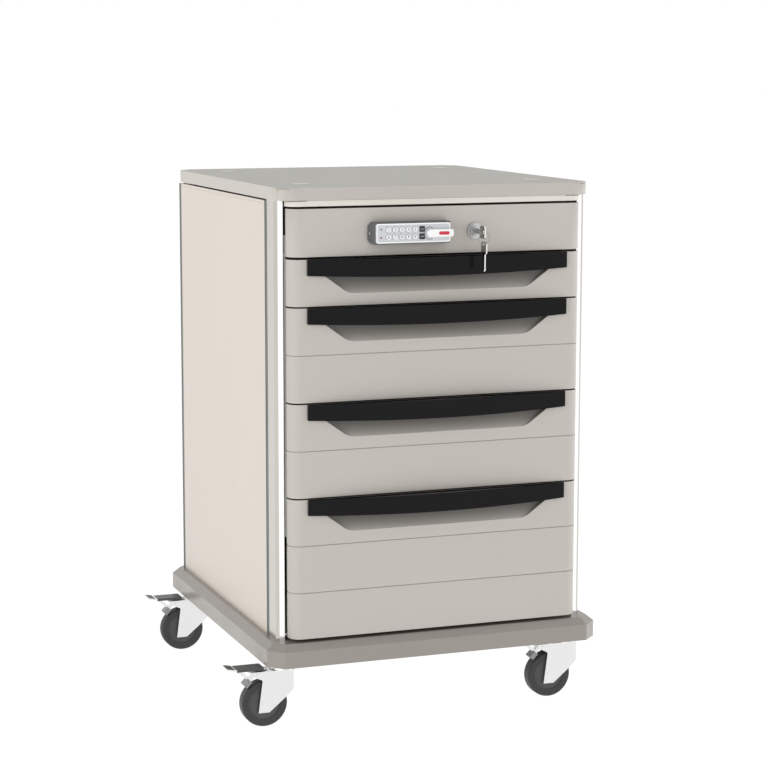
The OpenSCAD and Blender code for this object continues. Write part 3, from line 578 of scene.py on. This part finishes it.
def keypad_details():
    """Two lamps, the ring and mark of the lever, and the screw in the housing's end."""
    first = middle("digit_button_1")
    row_top, row_low = first.z, middle("digit_button_6").z
    mid_z = (row_top + row_low) / 2
    lamp_x = first.x - 12 * MM
    for name, side, lens in (("lamp_green", 1, GREEN_LENS), ("lamp_red", -1, RED_LENS)):
        bm = bmesh.new()
        z = mid_z + side * (row_top - row_low) * 0.56
        add_dome(bm, (lamp_x, PLATE_Y + 0.9 * MM, z), 1.35 * MM, 0.7 * MM, (0, -1, 0))
        piece(name, bm, lens, "cabinet")

    for name in ("enter_button", "clear_button"):
        low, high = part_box(name)
        x, z = (low.x + high.x) / 2, (low.z + high.z) / 2
        bm = bmesh.new()
        add_prism(bm, [(x - 2.6 * MM, z - 0.5 * MM), (x + 2.6 * MM, z - 0.5 * MM),
                       (x + 2.6 * MM, z + 0.5 * MM), (x - 2.6 * MM, z + 0.5 * MM)],
                  low.y - 0.06 * MM, low.y + 0.02 * MM)
        piece(name + "_bar", bm, PALE, name)

    lever_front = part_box("lock_lever")[0].y
    pivot = joint_at["lock_lever_turn"]
    bm = bmesh.new()
    add_ring(bm, (pivot.x, pivot.z), 9.2 * MM, 10.2 * MM, PLATE_Y + 0.5 * MM, PLATE_Y + 0.7 * MM,
             math.radians(60), math.radians(300))
    piece("lever_arc", bm, INK, "cabinet")

    bm = bmesh.new()
    half_w, half_h = 9.0 * MM, 2.7 * MM
    x, z = pivot.x + 22.5 * MM, pivot.z
    outline = (arc_outline(x + half_w - half_h, z, half_h, -math.pi / 2, math.pi / 2, 12)
               + arc_outline(x - half_w + half_h, z, half_h, math.pi / 2, 1.5 * math.pi, 12))
    add_prism(bm, outline, lever_front - 0.12 * MM, lever_front + 0.1 * MM)
    piece("lever_mark", bm, RED, "lock_lever")

    low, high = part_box("keypad_housing")
    bm = bmesh.new()
    add_dome(bm, (low.x + 0.45 * MM, low.y + 9.0 * MM, (low.z + high.z) / 2), 2.3 * MM, 0.9 * MM, (-1, 0, 0))
    piece("housing_screw", bm, SCREW, "cabinet")


def spare_blade():
    """The second key's blade, below its bow."""
    low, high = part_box("spare_key")
    x = (low.x + high.x) / 2
    y = (low.y + high.y) / 2
    bm = bmesh.new()
    half, z1, z0 = 4.0 * MM, low.z + 1.5 * MM, low.z - 27.0 * MM
    side = [(y - half, z1), (y + half, z1), (y + half, z0 + 3.0 * MM), (y + half * 0.3, z0),
            (y - half * 0.3, z0), (y - half, z0 + 3.0 * MM)]
    for i in range(4):
        z = z0 + (6.0 + 4.0 * i) * MM
        side += [(y - half, z - 0.9 * MM), (y - half + 1.4 * MM, z), (y - half, z + 0.9 * MM)]
    add_prism(bm, side, x - 1.1 * MM, x + 1.1 * MM, point_along_x)
    piece("spare_key_blade", bm, MATERIALS["lock_metal"], "spare_key")


def panel_screws():
    """Round screw heads along the back panel's edges."""
    low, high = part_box("back_panel")
    rows, inset, end_gap = 4, 12 * MM, 30 * MM
    pitch = (high.z - low.z - 2 * end_gap) / (rows - 1)
    bm = bmesh.new()
    for x in (low.x + inset, high.x - inset):
        for i in range(rows):
            z = low.z + end_gap + i * pitch
            add_dome(bm, (x, high.y, z), 4.0 * MM, 1.8 * MM, (0, 1, 0))
    piece("back_screws", bm, SCREW, "cabinet")


brake_covers()
button_marks()
keypad_details()
spare_blade()
panel_screws()


# ---------- camera, light and floor ----------

def aim_camera():
    azimuth = math.radians(-20.315)
    elevation = math.radians(8.392)
    roll = math.radians(0.0748)
    aim = Vector((CENTRE_X - 0.0936, FRONT_Y, 0.5547))
    distance = 3.540
    back = Vector((math.sin(azimuth) * math.cos(elevation), -math.cos(azimuth) * math.cos(elevation),
                   math.sin(elevation)))
    right = Vector((math.cos(azimuth), math.sin(azimuth), 0.0))
    up = back.cross(right)
    right, up = (right * math.cos(roll) + up * math.sin(roll), up * math.cos(roll) - right * math.sin(roll))
    data = bpy.data.cameras.new("camera")
    data.lens = 104.343
    data.sensor_width = 36.0
    camera = bpy.data.objects.new("camera", data)
    axes = Matrix((right, up, back)).transposed().to_4x4()
    camera.matrix_world = Matrix.Translation(aim + back * distance) @ axes
    bpy.context.scene.collection.objects.link(camera)
    bpy.context.scene.camera = camera


def area_light(name, place, target, size, power):
    data = bpy.data.lights.new(name, "AREA")
    data.shape = "RECTANGLE"
    data.size, data.size_y = size
    data.energy = power
    lamp = bpy.data.objects.new(name, data)
    lamp.location = place
    lamp.rotation_euler = (Vector(target) - Vector(place)).to_track_quat("-Z", "Y").to_euler()
    lamp.visible_glossy = False
    bpy.context.scene.collection.objects.link(lamp)


def studio():
    scene = bpy.context.scene
    scene.view_settings.view_transform = "Standard"
    world = bpy.data.worlds.new("studio")
    scene.world = world
    world.use_nodes = True
    tree = world.node_tree
    background = tree.nodes["Background"]
    background.inputs["Color"].default_value = (1.0, 1.0, 1.0, 1.0)
    path = tree.nodes.new("ShaderNodeLightPath")
    strength = tree.nodes.new("ShaderNodeMapRange")
    strength.inputs["To Min"].default_value = 1.0
    strength.inputs["To Max"].default_value = 0.44
    tree.links.new(path.outputs["Is Diffuse Ray"], strength.inputs["Value"])
    tree.links.new(strength.outputs["Result"], background.inputs["Strength"])

    mesh = bpy.data.meshes.new("floor")
    bm = bmesh.new()
    bmesh.ops.create_grid(bm, x_segments=8, y_segments=8, size=30.0)
    bm.to_mesh(mesh)
    bm.free()
    floor = bpy.data.objects.new("floor", mesh)
    scene.collection.objects.link(floor)
    material = bpy.data.materials.new("floor_white")
    material.use_nodes = True
    shader = material.node_tree.nodes["Principled BSDF"]
    shader.inputs["Base Color"].default_value = (0.20, 0.20, 0.20, 1.0)
    shader.inputs["Roughness"].default_value = 0.9
    shader.inputs["Specular IOR Level"].default_value = 0.0
    shader.inputs["Emission Color"].default_value = (1.0, 1.0, 1.0, 1.0)
    shader.inputs["Emission Strength"].default_value = 0.93
    floor.data.materials.append(material)

    area_light("key_left", (-4.0, -1.4, 1.9), (0.0, 0.0, 0.5), (3.0, 3.0), 62.0)
    area_light("front_fill", (0.6, -5.0, 1.6), (0.0, 0.0, 0.5), (3.0, 2.0), 31.0)
    area_light("right_edge", (4.5, -0.7, 1.4), (0.0, -0.2, 0.5), (2.0, 2.0), 72.0)


aim_camera()
studio()
